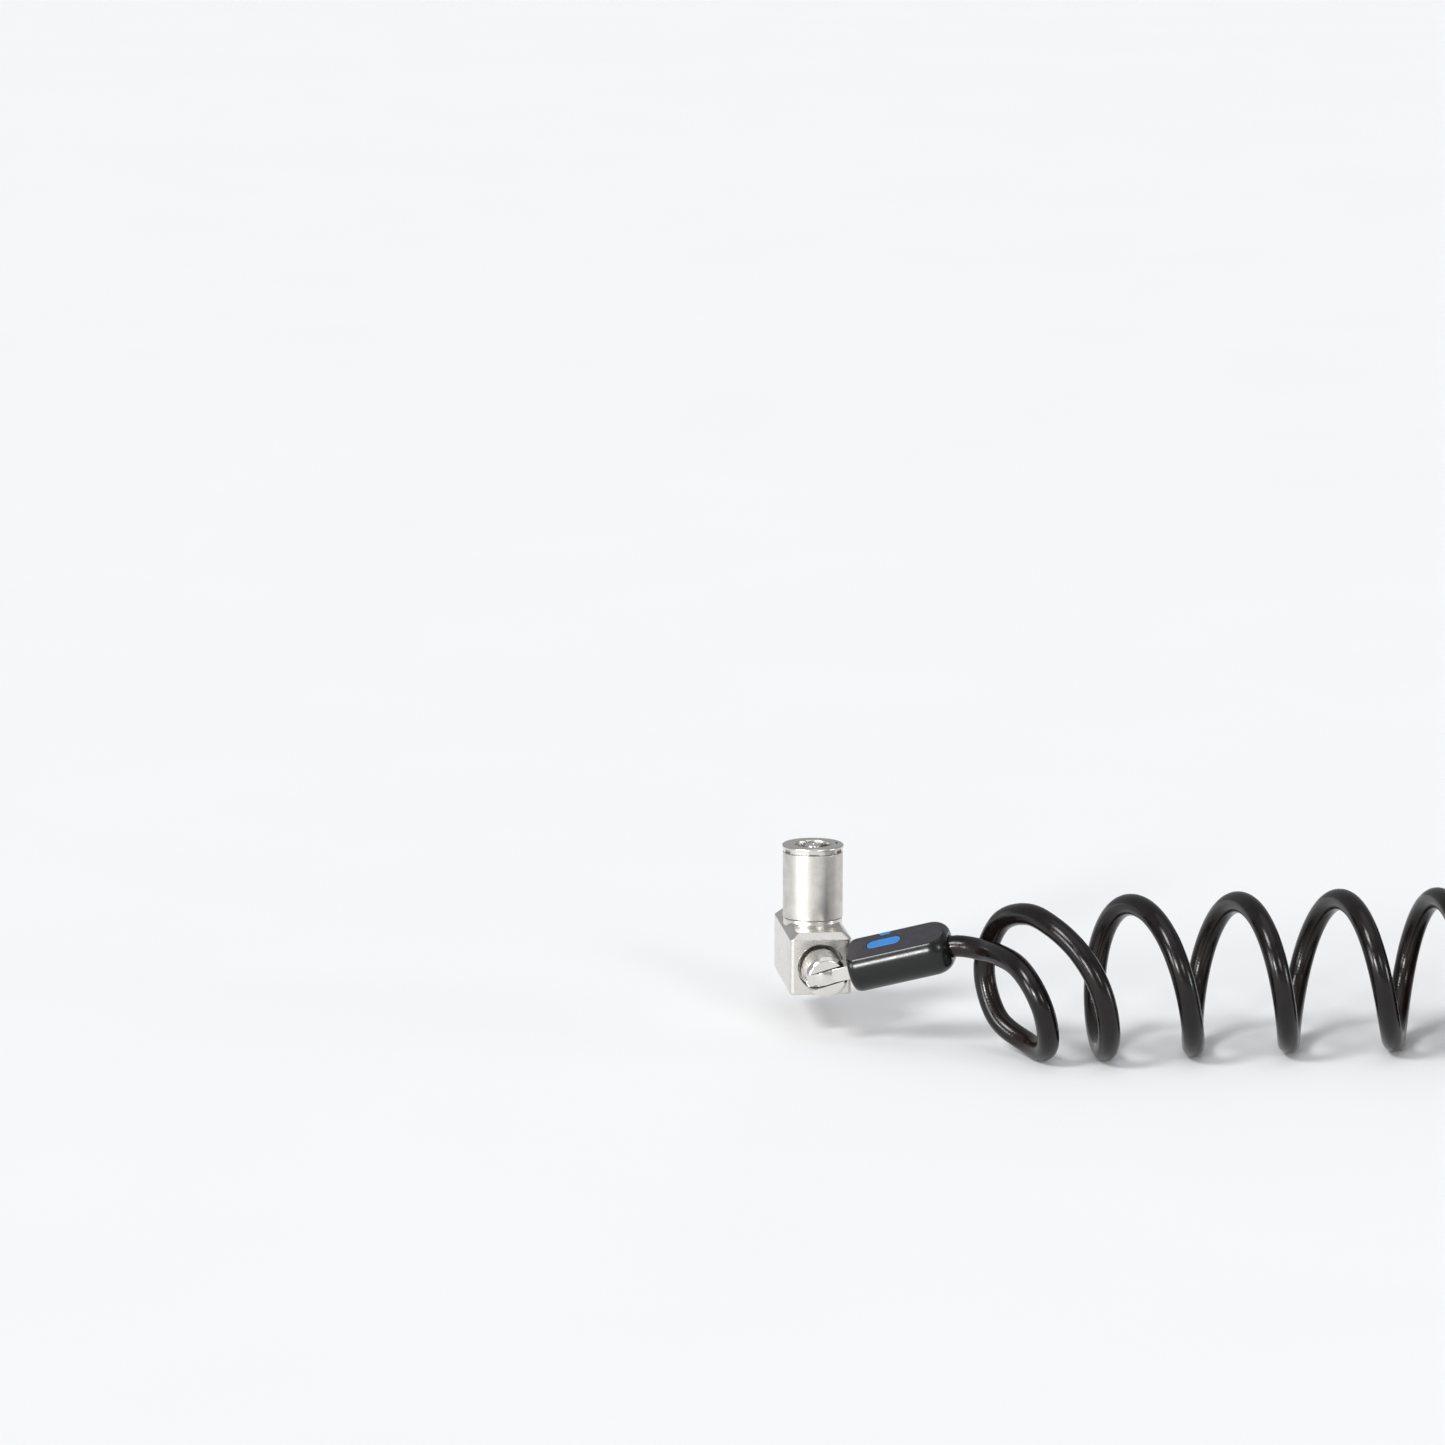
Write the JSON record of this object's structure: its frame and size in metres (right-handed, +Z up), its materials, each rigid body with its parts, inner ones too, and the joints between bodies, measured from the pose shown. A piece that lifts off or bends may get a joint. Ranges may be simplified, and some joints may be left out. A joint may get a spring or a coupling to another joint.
{
  "type": "laptop cable lock",
  "caption": "Keyed laptop cable lock: a metal lock head that hooks into a laptop security slot, with a swivelling hinged sleeve and a self-coiling steel cable ending in a loop.",
  "frame": {"origin": "the middle of the two hooks, on the plane where the head seats on the laptop's side", "axes": "+Y into the laptop, +X along the laptop's side towards the cable, +Z up along the lock barrel"},
  "size_m": [0.2481, 0.0602, 0.0304],
  "materials": {
    "satin_nickel": "die-cast zinc, tumbled and satin nickel plated",
    "polished_nickel": "turned steel, bright nickel plated",
    "hardened_steel": "hardened steel, ground",
    "turned_brass": "turned brass, bare",
    "moulded_black": "injection moulded ABS, glossy",
    "blue_inlay": "moulded blue insert, satin",
    "cable_jacket": "extruded smoky PVC over twisted steel strand"
  },
  "bodies": {
    "lock_head": {"lock_body": "satin_nickel", "base_plate": "satin_nickel", "base_rivet_1": "hardened_steel", "base_rivet_2": "hardened_steel", "nose_plate": "hardened_steel", "nose_rivet_1": "hardened_steel", "nose_rivet_2": "hardened_steel", "barrel_shell": "satin_nickel", "cap_ring": "satin_nickel", "barrel_pin": "hardened_steel", "tumbler_housing": "turned_brass", "driver_pin_1": "hardened_steel", "driver_pin_2": "hardened_steel", "driver_pin_3": "hardened_steel", "driver_pin_4": "hardened_steel", "driver_pin_5": "hardened_steel", "driver_pin_6": "hardened_steel", "driver_pin_7": "hardened_steel", "driver_spring_1": "hardened_steel", "driver_spring_2": "hardened_steel", "driver_spring_3": "hardened_steel", "driver_spring_4": "hardened_steel", "driver_spring_5": "hardened_steel", "driver_spring_6": "hardened_steel", "driver_spring_7": "hardened_steel"},
    "key_core": {"key_spindle": "hardened_steel", "key_plug": "turned_brass", "cam": "hardened_steel", "key_pin_1": "turned_brass", "key_pin_2": "turned_brass", "key_pin_3": "turned_brass", "key_pin_4": "turned_brass", "key_pin_5": "turned_brass", "key_pin_6": "turned_brass", "key_pin_7": "turned_brass"},
    "slide": {"lock_slide": "hardened_steel"},
    "right_jaw": {"jaw_right": "hardened_steel"},
    "left_jaw": {"jaw_left": "hardened_steel"},
    "stud": {"swivel_stud": "polished_nickel", "stud_washer": "hardened_steel", "stud_clip": "hardened_steel", "pivot_pin": "hardened_steel"},
    "cable": {"cable_tang": "polished_nickel", "cable_end": "cable_jacket", "cable_sleeve": "moulded_black", "sleeve_inlay_top": "blue_inlay", "sleeve_inlay_back": "blue_inlay", "cable_lead": "cable_jacket", "cable_coil_open": "cable_jacket", "cable_coil_closed": "cable_jacket", "cable_tail": "cable_jacket", "loop_ferrule": "hardened_steel", "loop_ferrule_cover": "moulded_black", "cable_loop": "cable_jacket"}
  },
  "joints": [
    {"name": "key_turn", "type": "hinge", "parent": "lock_head", "child": "key_core", "pos_m": [0, -0.011, 0.01], "axis": [0, 0, -1], "range_deg": [0, 90]},
    {"name": "slide_draw", "type": "slide", "parent": "lock_head", "child": "slide", "axis": [0, -1, 0], "range_m": [0, 0.0024]},
    {"name": "jaw_right_draw", "type": "slide", "parent": "lock_head", "child": "right_jaw", "axis": [-1, 0, 0], "range_m": [0, 0.0009]},
    {"name": "jaw_left_draw", "type": "slide", "parent": "lock_head", "child": "left_jaw", "axis": [1, 0, 0], "range_m": [0, 0.0009]},
    {"name": "stud_spin", "type": "hinge", "parent": "lock_head", "child": "stud", "pos_m": [0, -0.022, -0.0005], "axis": [0, 1, 0], "continuous": true},
    {"name": "sleeve_swing", "type": "hinge", "parent": "stud", "child": "cable", "pos_m": [0, -0.0269, -0.0005], "axis": [-0.2756, 0, 0.9613], "range_deg": [-157, 13]}
  ],
  "couplings": [
    {"joint": "key_turn", "follows": "slide_draw", "rad_per_m": 654.4},
    {"joint": "jaw_right_draw", "follows": "slide_draw", "ratio": 0.375},
    {"joint": "jaw_left_draw", "follows": "slide_draw", "ratio": 0.375}
  ]
}
